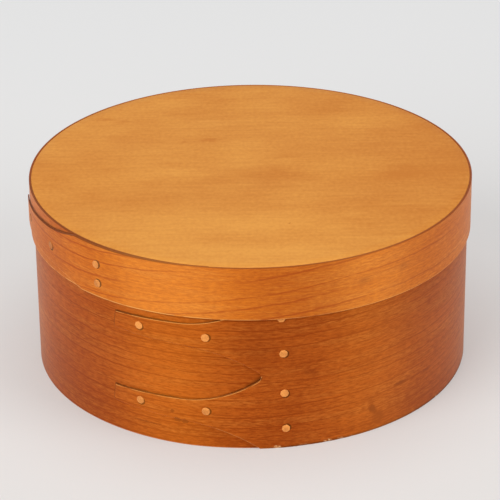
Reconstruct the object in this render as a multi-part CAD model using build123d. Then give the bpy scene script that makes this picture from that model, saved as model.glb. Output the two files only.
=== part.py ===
from build123d import *

import os
from dataclasses import dataclass
from math import asin, atan2, cos, degrees, hypot, radians, sin

# A round bentwood box for cheese, with a lid that lifts off.
# Each wall is one thin strip of cherry, bent round a board and lapped over itself.
# The strip's outer end is cut into fingers, and wooden pegs hold the lap.
#
# Millimetres. +Z is up, the origin is the middle of the underside and the front is -Y.
# An angle is seen from above: 0 is the front, and it grows towards +X.
# A distance along a lap is counted from the fingers' roots, positive towards their tips.

# Overall sizes
lid_diameter = 304.8
body_height = 127.95
lid_height = 37.5
board_thickness = 6.35

# Walls
body_thickness = 1.8
lid_thickness = 1.5
lid_clearance = 0.75  # between the two walls, on each side
board_clearance = 0.05  # between a board's edge and its wall
board_ease = 0.4  # taken off the outer corner of a board
lap_gap = 0.2  # between the two layers of a lap
step_length = 6.0  # over which the outer layer climbs onto the inner layer's end

# Body's fingers: two of them, laid out in the height that the lid leaves in view
body_seam_angle = 2.6
body_finger_length = 103.0
body_neck_distance = 55.0  # where a finger's straight taper ends and its arch begins
body_tip_width = 12.0
body_neck_width = 15.8
finger_pitch_share = 0.5735  # of the height in view
body_finger_rise = 0.85  # how far a finger stands out from the wall below it
lower_finger_tilt = 1.25  # degrees by which a finger's line drops from its tip to its root
upper_finger_tilt = 0.65

# Lid's finger: one, as wide at its root as the wall is high
lid_seam_angle = -48.0
lid_finger_length = 101.0
lid_neck_distance = 35.0
lid_tip_width = 15.6
lid_neck_width = 24.6
lid_finger_rise = 1.5
lid_finger_tilt = 0.0

# Each lap in stations, from the fingers' tips to the inner layer's end. A row of a scarf
# holds the distance along the lap as a share of the finger's length, and the share of the
# wall's thickness that is left in the inner layer. A rise is how far the outer layer stands
# out from the wall at each station, as a share of the finger's rise. The body's last three
# are shares of the lid's clearance instead, because the lid slides over them.
body_scarf_shares = ((1.0, 1.0), (0.485, 1.0), (0.233, 0.61), (-0.136, 0.28), (-0.291, 0.17))
finger_rise_shares = (1.0, 0.88)
under_lid_rise_shares = (0.53, 0.40, 0.0)
lid_scarf_shares = ((1.0, 1.0), (0.347, 1.0), (-0.396, 1.0), (-0.99, 0.2))
lid_rise_shares = (0.73, 1.0, 1.0, 0.0)

# How far a finger's arch runs on past its root, as a share of its turn
flare_share = 1.6

# Pegs
peg_diameter = 5.8
peg_hole_clearance = 0.05
peg_stand = 0.45  # how far a peg stands out from the layer that it holds
peg_stand_under_lid = 0.1  # the same for the peg that the lid slides over
peg_chamfer = 0.3

# Places of the pegs: shares of the finger's length along the lap,
# then of the fingers' pitch above the base, or of the lid wall's height
upper_finger_peg_shares = ((0.813, 1.503), (0.364, 1.478))
lower_finger_peg_shares = ((0.818, 0.496), (0.368, 0.492))
body_seam_peg_shares = ((-0.144, 0.263), (-0.136, 0.741), (-0.130, 1.270))
under_lid_peg_shares = ((-0.118, 1.735),)
lid_finger_peg_shares = ((0.770, 0.502), (0.318, 0.502))
lid_seam_peg_shares = ((-0.176, 0.623), (-0.184, 0.260))

# Length by which a cut or a drill runs past what it cuts
overrun = 4.0

UP = (0, 0, 1)

# Worked out from the sizes above
lid_radius = lid_diameter / 2
body_radius = lid_radius - lid_thickness - lid_clearance
total_height = body_height + board_thickness
lid_bottom = total_height - lid_height
finger_pitch = lid_bottom * finger_pitch_share


@dataclass
class Wall:
    """One bent strip: its size, its lap and its fingers."""

    radius: float
    thickness: float
    bottom: float
    height: float
    seam_angle: float
    finger_length: float
    neck_distance: float
    tip_width: float
    neck_width: float
    root_width: float
    finger_heights: list
    finger_tilts: list
    scarf_shares: tuple
    rises: tuple

    @property
    def inner_radius(self):
        return self.radius - self.thickness

    def angle(self, distance):
        return self.seam_angle - degrees(distance / self.radius)

    def station(self, number):
        return self.finger_length * self.scarf_shares[number][0]

    def angles(self):
        return [self.angle(self.station(number)) for number in range(len(self.scarf_shares))]

    def inner_layer(self):
        """Outer radius of the inner layer at each station."""
        return [self.inner_radius + self.thickness * left for _, left in self.scarf_shares]

    def surface(self, distance):
        """Radius of the outer layer's face at a distance along the lap."""
        for number in range(len(self.rises) - 1):
            near = self.station(number)
            far = self.station(number + 1)
            if far <= distance <= near:
                share = (near - distance) / (near - far)
                rise = self.rises[number] + share * (self.rises[number + 1] - self.rises[number])
                return self.radius + rise
        return self.radius


body_wall = Wall(
    radius=body_radius,
    thickness=body_thickness,
    bottom=0,
    height=body_height,
    seam_angle=body_seam_angle,
    finger_length=body_finger_length,
    neck_distance=body_neck_distance,
    tip_width=body_tip_width,
    neck_width=body_neck_width,
    root_width=finger_pitch,
    finger_heights=[finger_pitch / 2, finger_pitch * 3 / 2],
    finger_tilts=[lower_finger_tilt, upper_finger_tilt],
    scarf_shares=body_scarf_shares,
    rises=tuple(body_finger_rise * share for share in finger_rise_shares)
    + tuple(lid_clearance * share for share in under_lid_rise_shares),
)

lid_wall = Wall(
    radius=lid_radius,
    thickness=lid_thickness,
    bottom=lid_bottom,
    height=lid_height,
    seam_angle=lid_seam_angle,
    finger_length=lid_finger_length,
    neck_distance=lid_neck_distance,
    tip_width=lid_tip_width,
    neck_width=lid_neck_width,
    root_width=lid_height,
    finger_heights=[lid_bottom + lid_height / 2],
    finger_tilts=[lid_finger_tilt],
    scarf_shares=lid_scarf_shares,
    rises=tuple(lid_finger_rise * share for share in lid_rise_shares),
)


def spot(radius, angle):
    """A point in plan."""
    return (radius * sin(radians(angle)), -radius * cos(radians(angle)))


def bend(start, end):
    """An arc in plan from one radius and angle to another, round the box's middle."""
    middle = ((start[0] + end[0]) / 2, (start[1] + end[1]) / 2)
    return ThreePointArc(spot(*start), spot(*middle), spot(*end))


def bends(radii, angles):
    places = list(zip(radii, angles))
    return [bend(*pair) for pair in zip(places, places[1:])]


def strip_outline(wall):
    """Plan of a wall: one strip that goes round once and laps over its own start."""
    angles = wall.angles()
    inside = wall.inner_radius
    inner_layer = wall.inner_layer()
    end = angles[-1]
    past_end = wall.angle(wall.station(-1) - step_length)
    scarf_start = max(n for n, row in enumerate(wall.scarf_shares) if row[1] == 1)
    outer_face = [wall.radius + rise for rise in wall.rises]
    under_face = [radius + lap_gap for radius in inner_layer]
    edges = [bend((inside, past_end), (inside, end + 360))]
    edges.append(Line(spot(inside, end), spot(inner_layer[-1], end)))
    edges += bends(inner_layer[scarf_start:], angles[scarf_start:])
    edges.append(bend((wall.radius, end), (wall.radius, angles[scarf_start] + 360)))
    edges += bends(outer_face, angles)
    edges.append(Line(spot(outer_face[0], angles[0]), spot(under_face[0], angles[0])))
    edges += bends(under_face, angles)
    edges.append(Line(spot(under_face[-1], end), spot(inside, past_end)))
    return Face(Wire(edges))


def lap_core(wall):
    """Everything inside the middle of the gap between the lap's two layers."""
    radii = [radius + lap_gap / 2 for radius in wall.inner_layer()]
    angles = wall.angles()
    radii.insert(0, radii[0])
    angles.insert(0, wall.angle(wall.finger_length + step_length))
    edges = [Line((0, 0), spot(radii[0], angles[0]))]
    edges += bends(radii, angles)
    edges.append(Line(spot(radii[-1], angles[-1]), (0, 0)))
    plan = Face(Wire(edges))
    return Pos(0, 0, wall.bottom - overrun) * extrude(plan, wall.height + 2 * overrun, dir=UP)


def finger_face(wall, height, tilt, across):
    """One finger seen from in front: squared tip, straight taper, then arcs that flare past the root."""
    tip = (across(wall.finger_length + overrun), wall.tip_width / 2)
    neck = (across(wall.neck_distance), wall.neck_width / 2)
    root = (across(0), wall.root_width / 2)
    taper_angle = atan2(neck[1] - tip[1], neck[0] - tip[0])
    ahead = (root[0] - neck[0]) * cos(taper_angle) + (root[1] - neck[1]) * sin(taper_angle)
    aside = (root[1] - neck[1]) * cos(taper_angle) - (root[0] - neck[0]) * sin(taper_angle)
    arch_radius = (ahead**2 + aside**2) / (2 * aside)
    turn = 2 * asin(hypot(ahead, aside) / (2 * arch_radius))

    def on_arch(share):
        angle = taper_angle + turn * share
        along = arch_radius * (sin(angle) - sin(taper_angle))
        up = arch_radius * (cos(taper_angle) - cos(angle))
        return (neck[0] + along, neck[1] + up)

    middle = on_arch(flare_share / 2)
    flare = on_arch(flare_share)
    past_flare = (flare[0] + overrun, flare[1])

    def mirrored(point):
        return (point[0], -point[1])

    edges = [
        Line(mirrored(tip), tip),
        Line(tip, neck),
        ThreePointArc(neck, middle, flare),
        Line(flare, past_flare),
        Line(past_flare, mirrored(past_flare)),
        Line(mirrored(past_flare), mirrored(flare)),
        ThreePointArc(mirrored(flare), mirrored(middle), mirrored(neck)),
        Line(mirrored(neck), mirrored(tip)),
    ]
    tip_middle = Pos(across(wall.finger_length), 0)
    tilted = tip_middle * Rot(0, 0, -tilt) * tip_middle.inverse() * Face(Wire(edges))
    return Pos(0, height) * tilted, flare[0]


def between_fingers(wall):
    """What is cut from the outer layer, so that only the fingers are left of the roots."""
    middle_angle = wall.angle(wall.finger_length / 2)

    def across(distance):
        return wall.radius * sin(radians(wall.angle(distance) - middle_angle))

    lines = zip(wall.finger_heights, wall.finger_tilts)
    fingers = [finger_face(wall, height, tilt, across) for height, tilt in lines]
    left = across(wall.finger_length + overrun / 2)
    right = fingers[0][1]
    height = wall.height + 2 * overrun
    sheet = Pos((left + right) / 2, wall.bottom - overrun + height / 2) * Rectangle(right - left, height)
    for face, _ in fingers:
        sheet = sheet - face
    outward = (sin(radians(middle_angle)), -cos(radians(middle_angle)), 0)
    sideways = (cos(radians(middle_angle)), sin(radians(middle_angle)), 0)
    view = Plane(origin=(0, 0, 0), x_dir=sideways, z_dir=outward)
    return extrude(view * sheet, wall.radius + overrun, dir=outward) - lap_core(wall)


def peg(wall, shares, base, span, stand):
    """A peg through both layers, flush inside and standing out a little, with its end eased."""
    length = wall.surface(wall.finger_length * shares[0]) + stand - wall.inner_radius
    pin = Cylinder(peg_diameter / 2, length, align=(Align.CENTER, Align.CENTER, Align.MIN))
    outer_end = pin.faces().sort_by(Axis.Z)[-1]
    return peg_place(wall, shares, base, span) * chamfer(outer_end.edges(), peg_chamfer)


def peg_place(wall, shares, base, span):
    """Where a peg's axis leaves the wall's inside, pointing straight out."""
    angle = wall.angle(wall.finger_length * shares[0])
    outward = (sin(radians(angle)), -cos(radians(angle)), 0)
    origin = (*spot(wall.inner_radius, angle), base + span * shares[1])
    return Location(Plane(origin=origin, x_dir=UP, z_dir=outward))


def peg_hole(wall, shares, base, span):
    radius = peg_diameter / 2 + peg_hole_clearance
    depth = wall.thickness * 2 + overrun * 2
    drill = Cylinder(radius, depth, align=(Align.CENTER, Align.CENTER, Align.CENTER))
    return peg_place(wall, shares, base, span) * drill


def strip(wall, peg_shares, base, span):
    """A finished wall: bent, its outer end cut to fingers, and drilled."""
    plan = strip_outline(wall)
    solid = Pos(0, 0, wall.bottom) * extrude(plan, wall.height, dir=UP)
    solid = solid - between_fingers(wall)
    for shares in peg_shares:
        solid = solid - peg_hole(wall, shares, base, span)
    return solid


def board(wall, bottom, outer_side):
    """A disc that fills a wall, with the corner of its outer side eased."""
    disc = Cylinder(
        wall.inner_radius - board_clearance,
        board_thickness,
        align=(Align.CENTER, Align.CENTER, Align.MIN),
    )
    outer_corner = disc.faces().sort_by(Axis.Z)[outer_side].edges()
    return Pos(0, 0, bottom) * chamfer(outer_corner, board_ease)


body_peg_frame = (0, finger_pitch)
lid_peg_frame = (lid_bottom, lid_height)
UNDER, TOP = 0, -1
body_holes = upper_finger_peg_shares + lower_finger_peg_shares + body_seam_peg_shares + under_lid_peg_shares
lid_holes = lid_finger_peg_shares + lid_seam_peg_shares


def pegs(wall, frame, rows, stand=peg_stand):
    return [peg(wall, shares, *frame, stand) for shares in rows]


seam_pegs = pegs(body_wall, body_peg_frame, body_seam_peg_shares)
seam_pegs += pegs(body_wall, body_peg_frame, under_lid_peg_shares, peg_stand_under_lid)

nodes = {
    "body_band": [strip(body_wall, body_holes, *body_peg_frame)],
    "base_board": [board(body_wall, 0, UNDER)],
    "upper_finger_pegs": pegs(body_wall, body_peg_frame, upper_finger_peg_shares),
    "lower_finger_pegs": pegs(body_wall, body_peg_frame, lower_finger_peg_shares),
    "body_seam_pegs": seam_pegs,
    "lid_band": [strip(lid_wall, lid_holes, *lid_peg_frame)],
    "lid_board": [board(lid_wall, body_height, TOP)],
    "lid_finger_pegs": pegs(lid_wall, lid_peg_frame, lid_finger_peg_shares),
    "lid_seam_pegs": pegs(lid_wall, lid_peg_frame, lid_seam_peg_shares),
}

os.makedirs("parts", exist_ok=True)
for name, solids in nodes.items():
    shape = solids[0] if len(solids) == 1 else Compound(children=solids)
    export_step(shape, f"parts/{name}.step")
    print(name, len(solids), round(sum(solid.volume for solid in solids)))
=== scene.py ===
"""Looks of a round bentwood cheese box: cherry walls with lapped fingers, golden boards and pale pegs."""

import math

import bmesh
import bpy
import numpy as np
from mathutils import Matrix, Vector


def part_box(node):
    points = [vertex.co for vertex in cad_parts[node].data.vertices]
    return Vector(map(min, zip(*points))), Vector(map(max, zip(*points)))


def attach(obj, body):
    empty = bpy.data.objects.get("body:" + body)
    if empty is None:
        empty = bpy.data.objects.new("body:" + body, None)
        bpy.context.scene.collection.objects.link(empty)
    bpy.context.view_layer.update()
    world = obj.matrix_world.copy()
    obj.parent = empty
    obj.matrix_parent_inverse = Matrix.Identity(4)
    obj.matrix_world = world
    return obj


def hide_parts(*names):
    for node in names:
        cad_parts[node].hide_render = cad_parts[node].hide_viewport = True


bl_info = {
    "name": "Bentwood Cheese Box",
    "version": (1, 0, 0),
    "blender": (4, 5, 0),
    "location": "View3D > Sidebar > Cheese Box",
    "description": "Builds the walls, boards, pegs and finishes of a round bentwood box",
    "category": "Add Mesh",
}

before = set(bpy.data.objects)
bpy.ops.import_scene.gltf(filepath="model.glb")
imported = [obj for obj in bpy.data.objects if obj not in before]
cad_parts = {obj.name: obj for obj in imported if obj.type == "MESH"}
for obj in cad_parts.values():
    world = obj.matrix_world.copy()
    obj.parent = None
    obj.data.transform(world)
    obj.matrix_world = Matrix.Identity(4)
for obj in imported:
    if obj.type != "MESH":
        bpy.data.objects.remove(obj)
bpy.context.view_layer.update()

MM = 0.001

# Fits shared by both walls
BOARD_CLEARANCE = 0.05 * MM
LAP_GAP = 0.2 * MM
STEP_LENGTH = 6 * MM

# Stations of each lap, from the fingers' tips to the inner layer's end: share of the
# finger's length, share of the thickness left in the inner layer, rise of the outer layer
BODY_STATIONS = (
    (1.0, 1.0, 0.85 * MM),
    (0.485, 1.0, 0.75 * MM),
    (0.233, 0.61, 0.40 * MM),
    (-0.136, 0.28, 0.30 * MM),
    (-0.291, 0.17, 0.0),
)
LID_STATIONS = (
    (1.0, 1.0, 1.1 * MM),
    (0.347, 1.0, 1.5 * MM),
    (-0.396, 1.0, 1.5 * MM),
    (-0.99, 0.2, 0.0),
)

# Chips out of the body's lower edge: distance along the lap, length and depth
BODY_CHIPS = (
    (-9 * MM, 5 * MM, 0.6 * MM),
    (-27 * MM, 9 * MM, 0.25 * MM),
    (-43.5 * MM, 5.5 * MM, 0.6 * MM),
    (-53 * MM, 6 * MM, 0.35 * MM),
    (-61 * MM, 4 * MM, 0.2 * MM),
    (-141 * MM, 3 * MM, 0.4 * MM),
    (-262 * MM, 5 * MM, 0.6 * MM),
    (-512 * MM, 7 * MM, 0.5 * MM),
)

# Dark flecks, and broad painted shade, in the body's cherry: place along the strip to the right of the
# roots and above the base, half length, half height and strength, under 0 where it's lighter
BODY_FLECKS_AND_SHADING = (
    (-57.4 * MM, 18.3 * MM, 2.6 * MM, 1.7 * MM, 2.6),
    (-52.5 * MM, 17.9 * MM, 2.2 * MM, 1.8 * MM, 2.8),
    (-61.0 * MM, 24.4 * MM, 1.6 * MM, 1.4 * MM, 1.6),
    (-80.0 * MM, 11.6 * MM, 13.0 * MM, 0.6 * MM, 1.2),
    (76.5 * MM, 17.2 * MM, 2.8 * MM, 2.8 * MM, 1.3),
    (78.5 * MM, 14.6 * MM, 2.4 * MM, 2.6 * MM, 0.6),
    (81.5 * MM, 9.0 * MM, 5.5 * MM, 6.0 * MM, 0.45),
    (76.0 * MM, 24.0 * MM, 4.0 * MM, 4.0 * MM, 0.25),
    (100.6 * MM, 28.3 * MM, 6.0 * MM, 1.1 * MM, 1.1),
    (128.0 * MM, 27.4 * MM, 6.5 * MM, 0.8 * MM, 0.7),
    (31.5 * MM, 55.0 * MM, 6.0 * MM, 2.6 * MM, 0.3),
    # The next six marks are broad: tone of the wood, and painted shade and painted light that even out how
    # the lamps light the wall. The tall bands by the roots are painted shade for the dim gap between the
    # glosses of the two lamps
    (14.0 * MM, 60.0 * MM, 26.0 * MM, 200.0 * MM, 0.12),
    (95.0 * MM, 60.0 * MM, 50.0 * MM, 220.0 * MM, 0.08),
    (-148.0 * MM, 35.0 * MM, 46.0 * MM, 50.0 * MM, 0.2),
    (-165.0 * MM, 88.0 * MM, 60.0 * MM, 22.0 * MM, -0.14),
    (-7.0 * MM, 78.0 * MM, 20.0 * MM, 24.0 * MM, 0.22),
    (112.0 * MM, 84.0 * MM, 80.0 * MM, 26.0 * MM, 0.13),
    (395.0 * MM, 61.0 * MM, 4.0 * MM, 2.2 * MM, 0.7),
    (-333.0 * MM, 34.0 * MM, 9.0 * MM, 1.0 * MM, 0.6),
)
LID_FLECKS_AND_SHADING = (
    # The first two marks are tall bands of painted shade, where the lamps light the lid's wall less
    (158.0 * MM, 115.0 * MM, 42.0 * MM, 200.0 * MM, 0.16),
    (-34.0 * MM, 115.0 * MM, 28.0 * MM, 200.0 * MM, 0.12),
    (204.0 * MM, 115.6 * MM, 6.0 * MM, 3.5 * MM, 0.3),
    (236.0 * MM, 117.0 * MM, 5.0 * MM, 3.5 * MM, 0.25),
    (-437.0 * MM, 111.0 * MM, 8.0 * MM, 1.0 * MM, 0.5),
)

# Marks on the lid's board: place, half length, half width and strength, under 0 where it's paler
BOARD_MARKS = (
    (-29.0 * MM, 51.0 * MM, 7.0 * MM, 4.5 * MM, 0.8),
    (26.0 * MM, -86.0 * MM, 1.2 * MM, 1.5 * MM, 1.8),
    (-104.0 * MM, 89.0 * MM, 10.0 * MM, 3.0 * MM, 0.9),
    (-91.0 * MM, 86.0 * MM, 6.0 * MM, 2.5 * MM, 0.7),
    (142.0 * MM, -44.0 * MM, 3.0 * MM, 1.4 * MM, 1.3),
    (137.0 * MM, -51.0 * MM, 4.0 * MM, 1.6 * MM, 1.4),
    (-47.0 * MM, 47.0 * MM, 3.0 * MM, 3.0 * MM, 0.6),
    (12.0 * MM, -8.0 * MM, 34.0 * MM, 16.0 * MM, 0.45),
    (114.0 * MM, -5.0 * MM, 30.0 * MM, 14.0 * MM, 0.4),
    (-53.0 * MM, -10.0 * MM, 30.0 * MM, 17.0 * MM, -0.6),
    (-22.0 * MM, -84.0 * MM, 62.0 * MM, 24.0 * MM, -0.55),
    (82.0 * MM, 84.0 * MM, 38.0 * MM, 24.0 * MM, -0.45),
    (-85.0 * MM, -78.0 * MM, 42.0 * MM, 26.0 * MM, -0.25),
)

# Pegs: radius, least distance from peg to peg, rounding of the outer and the inner end, what the
# inner end adds to the model's, turn from upright at most, and steps round
PEG_RADIUS = 2.9 * MM
PEG_APART = 9 * MM
PEG_EASE = 0.35 * MM
PEG_FOOT_EASE = 0.1 * MM
PEG_INNER_STAND = 0.12 * MM
PEG_LEAN = math.radians(3)
PEG_STEPS = 48

# A peg's crowned end: how high it is, and rings on it by their share of the radius and of the drop
PEG_CROWN = 0.12 * MM
PEG_DOME = ((0.45, 0.2), (0.75, 0.6))

# How a peg is whittled: share of the flats, oval part, unevenness of the flats and turn from peg to peg
PEG_FLATNESS = 0.8
PEG_OVAL = 0.01
PEG_UNEVEN = 0.12
PEG_TURN = 1.3

# Where the painted shadow round a peg lies beside it, and how far its side swings from peg to peg
PEG_SHADE = Vector((0.9 * MM, 0.0))
PEG_SHADE_SWING = math.radians(50)

# Boards: rounding of their corners, rings by their share of the radius, and steps round
BOARD_ROUNDING = 0.3 * MM
BOARD_RINGS = (0, 0.25, 0.5, 0.75, 0.95)
BOARD_STEPS = 360

# Gloss of the varnished fibres, which is narrow along the strip and wide across it
VARNISH_IOR = 2.5
FIBRE_ANISOTROPY = 0.95
ACROSS_THE_GRAIN = 0.25

# Steps across a strip's face, and the turn of each ring of an eased corner
ROWS = 10
QUARTER = [math.radians(step) for step in (0, 30, 60, 90)]

# Rings along the strip, past the fingers' roots: close to a first place, wider to a second, then even
CLOSE_STEP = 1 * MM
CLOSE_END = 32 * MM
WIDER_STEP = 1.5 * MM
WIDER_END = 62 * MM
EVEN_RINGS = 580

# Rings along a finger, from its root: some close ones, then even ones up to the tip
ROOT_RINGS = [step * MM for step in (0, 0.05, 0.15, 0.3, 0.5, 0.75, 1.0, 1.4, 2.0, 2.6)]
FINGER_START = 3.2 * MM
FINGER_RINGS = 110

# A finger's end: the length over which its rings turn to its slant, and its rounding at most, as a
# share of what stands out from the layer below
SLANT_LENGTH = 20 * MM
TIP_ROUND_LIMIT = 0.4

# A rounding at most, as a share of the strip's thickness, and the worn part as a share of its width
ROUND_LIMIT = 0.45
WORN_LIMIT = 0.2

# Corners sharper than this aren't shaded smooth
SHARP_ANGLE = math.radians(40)

# Where an edge's wear starts on the face, and how far an edge's points reach from it
WORN_WIDTH = 0.55 * MM
RIM_START = 0.3
EDGE_REACH = 1.5 * MM
TIP_RIM_SHARE = 0.55

# How far above the lower edge a chip shows bare wood, half its height as a share of the chip's depth,
# and the depth at which it shows in full
CHIP_ABOVE = 1.2 * MM
CHIP_SHOWS = 1.7
CHIP_DEEP = 0.6 * MM

# The closed end of the arch between two fingers: its rounding, the length over which its corners
# get sharp, how far from the roots it is looked for and in how many halvings
NOTCH_RADIUS = 4.2 * MM
NOTCH_EASING = 1.2 * MM
NOTCH_SEARCH = 10 * MM
NOTCH_HALVINGS = 40

# Places on the curved part of a finger's edge, as shares of the neck's distance
ARCH_SAMPLES = (0.1, 0.5, 0.9)

# Points nearer than this are joined, and walls are drawn in by this much to stay in the model's box
WELD = 0.002 * MM
DRAWN_IN = 0.02 * MM

# Growth lines: how far they wander over a long and a short stretch, and how softly their climb ends
WANDER = 5 * MM
JOG = 2.0 * MM
CLIMB_BLEND = 0.05

# Heights where a wall is darker, each from where that begins to where it is full: near the base,
# about the lid's edge, where it is painted shade, and along the lower edge, with grime and painted
# contact shadow
BASE_SHADE = (27 * MM, 5 * MM)
LID_SHADE_BELOW = (-2.6 * MM, -0.4 * MM)
LID_SHADE_ABOVE = (3 * MM, 1 * MM)
GRIME_AND_SHADE_HEIGHT = (1.8 * MM, 0.9 * MM)

# Places along the strip to the right of the roots, in the same way: where the grime and painted
# contact shadow start, where the upper edge is doubled and darker, and where handling has worn the
# lower edge most
GRIME_AND_SHADE_START = (-10 * MM, 20 * MM)
DOUBLED_LEFT = (-110 * MM, -90 * MM)
DOUBLED_RIGHT = (95 * MM, 60 * MM)
HANDLED = (170 * MM, 50 * MM)

# Over what length and height the wear of a finger's lower edge begins
WORN_UNDER_START = 20 * MM
WORN_UNDER_TOP = 6 * MM

# Painted shadow and dirt along a finger's upper edge: how ragged, where fainter half way along, how
# near the edge it is full, and over what length the straight edge's part passes into the arch's
DIRT_AND_SHADE_RAGGED = 1.4 * MM
FAINTER_LEFT = (-64 * MM, -48 * MM)
FAINTER_RIGHT = (-20 * MM, -34 * MM)
DIRT_AND_SHADE_FULL = 0.3 * MM
ARCH_BLEND = 1 * MM

# Painted shade in the closed end between two fingers: its width, and how near the other finger's arch
NOOK_WIDTH = 3.0 * MM
NOOK_REACH = (24 * MM, 3 * MM)

# The dark line past a finger's squared end
TIP_LINE = (1.1 * MM, 0.3 * MM)

# Boards get painted shade towards the right and painted light towards the front
PAINTED_SHADE_RIGHT = (0.02, 0.13)
PAINTED_LIGHT_FRONT = (-0.02, -0.14)

# Depths of relief in the finishes
FIBRE_RELIEF = 0.05 * MM
BOARD_RELIEF = 0.03 * MM
PEG_RELIEF = 0.04 * MM
PAPER_RELIEF = 0.02 * MM

# Camera, in mm and metres, and floor, in metres. The floor passes from its front colour to its back
# colour between two places
SENSOR_WIDTH = 36
CLIP_END = 100
FLOOR_RADIUS = 12
FLOOR_SIDES = 96
FLOOR_FADE = (-0.25, 0.75)

# Lamps: degrees from the front towards the right, degrees above the floor, distance, width and tint
LEFT_LAMP = (-43, 27, 5.0, 4.4, (1, 0.99, 0.975))
RIGHT_LAMP = (64, 24, 5.0, 3.6, (1, 0.965, 0.95))
TOP_LAMP = (0, 90, 3.0, 3.0, (1, 0.99, 0.98))
LAMP_AIM = Vector((0, 0, 0.07))


def number(name, description, default, **kinds):
    return bpy.props.FloatProperty(name=name, description=description, default=default, **kinds)


def length(name, description, default):
    """A length that the sidebar shows in the scene's units."""
    return number(name, description, default, unit="LENGTH", precision=5)


def turn(name, description, degrees):
    return number(name, description, math.radians(degrees), unit="ROTATION")


def colour(name, description, default):
    return bpy.props.FloatVectorProperty(
        name=name, description=description, default=default, subtype="COLOR", size=3, min=0, max=1
    )


def group_of(kind, name, description):
    return bpy.props.PointerProperty(type=kind, name=name, description=description)


class BodyWallSizes(bpy.types.PropertyGroup):
    """Sizes of the tall wall's lap."""

    seam_angle: turn("Seam angle", "Where the fingers' roots are, from the front towards the right", 2.6)
    finger_length: length("Finger length", "From the roots to the tips, along the wall", 103 * MM)
    neck_distance: length("Neck distance", "From the roots to where the straight taper ends", 55 * MM)
    tip_width: length("Tip width", "Height of a finger's squared end", 12 * MM)
    neck_width: length("Neck width", "Height of a finger where its arch begins", 15.8 * MM)
    root_width: length("Root width", "Height of a finger at its root", 54.4 * MM)
    spacing: length("Finger spacing", "From the middle of one finger's tip to the next", 55.515 * MM)
    lower_reach: length("Lower finger's reach", "How much longer it is than the upper one", 2 * MM)
    lower_tilt: turn("Lower finger's tilt", "How steeply its line drops from tip to root", 1.05)
    upper_tilt: turn("Upper finger's tilt", "How steeply its line drops from tip to root", 0.4)
    tip_slant: turn("Tip slant", "How far the fingers' ends lean from upright", 7)
    rounding: length("Edge rounding", "Radius of the worn edges", 0.35 * MM)


class LidWallSizes(bpy.types.PropertyGroup):
    """Sizes of the lap in the lid's wall."""

    seam_angle: turn("Seam angle", "Where the finger's root is, from the front towards the right", -48)
    finger_length: length("Finger length", "From the root to the tip, along the wall", 101 * MM)
    neck_distance: length("Neck distance", "From the root to where the straight taper ends", 35 * MM)
    tip_width: length("Tip width", "Height of the finger's squared end", 15.6 * MM)
    neck_width: length("Neck width", "Height of the finger where its arch begins", 24.6 * MM)
    root_width: length("Root width", "Height of the finger at its root", 37.5 * MM)
    tilt: turn("Finger's tilt", "How steeply its line drops from tip to root", -0.9)
    tip_drop: length("Tip drop", "How far the squared end lies below the middle of the wall", 0.8 * MM)
    tip_slant: turn("Tip slant", "How far the finger's end leans from upright", 3)
    rounding: length("Edge rounding", "Radius of the worn edges", 0.35 * MM)


class WoodColours(bpy.types.PropertyGroup):
    """Colours of the woods under their varnish."""

    body_light: colour("Body, light", "Early wood of the tall wall", (0.445, 0.083, 0.0080))
    body_gold: colour("Body, golden", "Golden streaks of the tall wall", (0.515, 0.143, 0.022))
    body_dark: colour("Body, dark", "Late wood of the tall wall", (0.235, 0.023, 0.0009))
    lid_light: colour("Lid wall, light", "Early wood of the lid's wall", (0.685, 0.168, 0.0080))
    lid_gold: colour("Lid wall, golden", "Golden streaks of the lid's wall", (0.74, 0.235, 0.030))
    lid_dark: colour("Lid wall, dark", "Late wood of the lid's wall", (0.40, 0.047, 0.0010))
    board_light: colour("Lid board, light", "Palest wood of the lid's board", (0.775, 0.334, 0.059))
    board_dark: colour("Lid board, dark", "Darkest wood of the lid's board", (0.59, 0.194, 0.022))
    cut_edge: colour("Cut edges", "Upper edge of a strip, where the varnish soaks in", (0.29, 0.045, 0.004))
    # The soaked edges' colours are also the colours of the painted shadow beside the pegs, and of the painted
    # shade along the fingers' upper edges and along the lower edge
    soaked_edge_and_shade: colour("Soaked edges", "Dark edges of the body's fingers", (0.060, 0.007, 0.001))
    lid_soaked_edge_and_shade: colour("Soaked edge, lid", "Brown edge of the lid's finger", (0.15, 0.022, 0.002))
    # The flecks' colour is also the colour of the broad painted shade in the tables of flecks
    fleck_and_shading: colour("Flecks", "Dark flecks and small knots in the cherry", (0.13, 0.010, 0.003))
    worn_edge: colour("Worn edges", "Where handling has rubbed the varnish away", (0.78, 0.36, 0.10))
    chip: colour("Chips", "Fresh wood where the lower edge has chipped", (0.74, 0.42, 0.19))
    bare: colour("Bare wood", "Inside faces, which have little varnish", (0.71, 0.39, 0.18))
    bare_dark: colour("Bare wood, dark", "Late wood of the inside faces", (0.54, 0.25, 0.10))
    peg: colour("Pegs", "End grain of the pegs", (0.86, 0.335, 0.080))
    peg_dark: colour("Pegs, dark", "Pores and stained parts of the pegs", (0.42, 0.135, 0.035))
    body_glow: colour("Body, glow", "Tint of the gloss on the tall wall's fibres", (1.0, 0.33, 0.02))
    lid_glow: colour("Lid wall, glow", "Tint of the gloss on the lid wall's fibres", (1.0, 0.52, 0.11))
    board_glow: colour("Board, glow", "Tint of the gloss on the boards and pegs", (1.0, 0.50, 0.15))


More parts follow.
